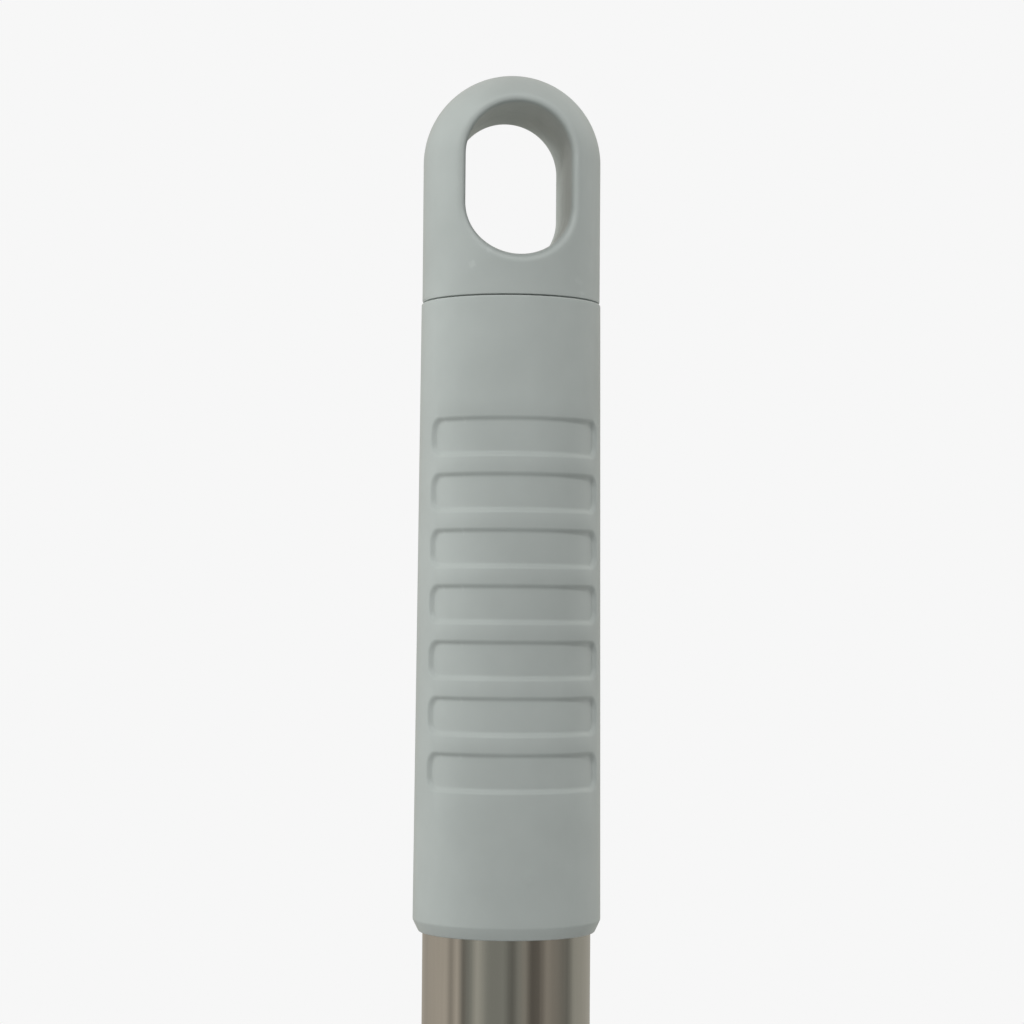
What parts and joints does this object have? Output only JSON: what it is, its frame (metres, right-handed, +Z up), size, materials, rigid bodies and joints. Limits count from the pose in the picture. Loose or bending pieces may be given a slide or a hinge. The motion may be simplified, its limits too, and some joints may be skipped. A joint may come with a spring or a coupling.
{
  "type": "string mop",
  "caption": "Clamp-type string mop: steel handle, ribbed grip with a hanging eye, hinged jaw with a wing nut, and a cotton yarn head in a stitched band.",
  "frame": {"origin": "highest point of the hanging eye's hole, where a hook carries the mop, on the handle's axis", "axes": "+Z up along the handle, -Y out of the front where the wing nut is, +X along the clamp's hinge"},
  "size_m": [0.167, 0.057, 1.5989],
  "materials": {
    "grip_plastic": "satin moulded, fine texture",
    "stainless_steel": "polished along the tube",
    "clamp_plastic": "matt moulded",
    "zinc_plated_steel": "bright zinc plate",
    "plug_plastic": "moulded",
    "woven_tape": "plain woven cotton tape",
    "cotton_yarn": "plied cotton yarn, undyed"
  },
  "bodies": {
    "mop_body": {"hang_cap": "grip_plastic", "grip_sleeve": "grip_plastic", "handle_tube": "stainless_steel", "tube_plug": "plug_plastic", "clip_body": "clamp_plastic", "socket_screw": "zinc_plated_steel", "hinge_pin": "stainless_steel", "pin_retainer": "zinc_plated_steel", "clamp_bolt": "zinc_plated_steel", "headband": "woven_tape", "yarn_front_1": "cotton_yarn", "yarn_front_2": "cotton_yarn", "yarn_front_3": "cotton_yarn", "yarn_front_4": "cotton_yarn", "yarn_front_5": "cotton_yarn", "yarn_back_1": "cotton_yarn", "yarn_back_2": "cotton_yarn", "yarn_back_3": "cotton_yarn", "yarn_back_4": "cotton_yarn", "yarn_back_5": "cotton_yarn"},
    "washer_body": {"clamp_washer": "zinc_plated_steel"},
    "nut_body": {"wing_nut": "zinc_plated_steel"},
    "jaw_body": {"jaw_plate": "clamp_plastic"}
  },
  "joints": [
    {"name": "nut_travel", "type": "slide", "parent": "mop_body", "child": "washer_body", "axis": [0, -1, 0], "range_m": [0, 0.012]},
    {"name": "nut_turn", "type": "hinge", "parent": "washer_body", "child": "nut_body", "pos_m": [0, -0.0136, -1.2413], "axis": [0, -1, 0], "range_deg": [0, 1080]},
    {"name": "jaw_hinge", "type": "hinge", "parent": "mop_body", "child": "jaw_body", "pos_m": [0, 0, -1.2113], "axis": [-1, 0, 0], "range_deg": [0, 15]}
  ],
  "couplings": [
    {"joint": "nut_travel", "follows": "nut_turn", "m_per_rad": 0.00063662},
    {"joint": "jaw_hinge", "follows": "nut_turn", "ratio": 0.013889}
  ]
}
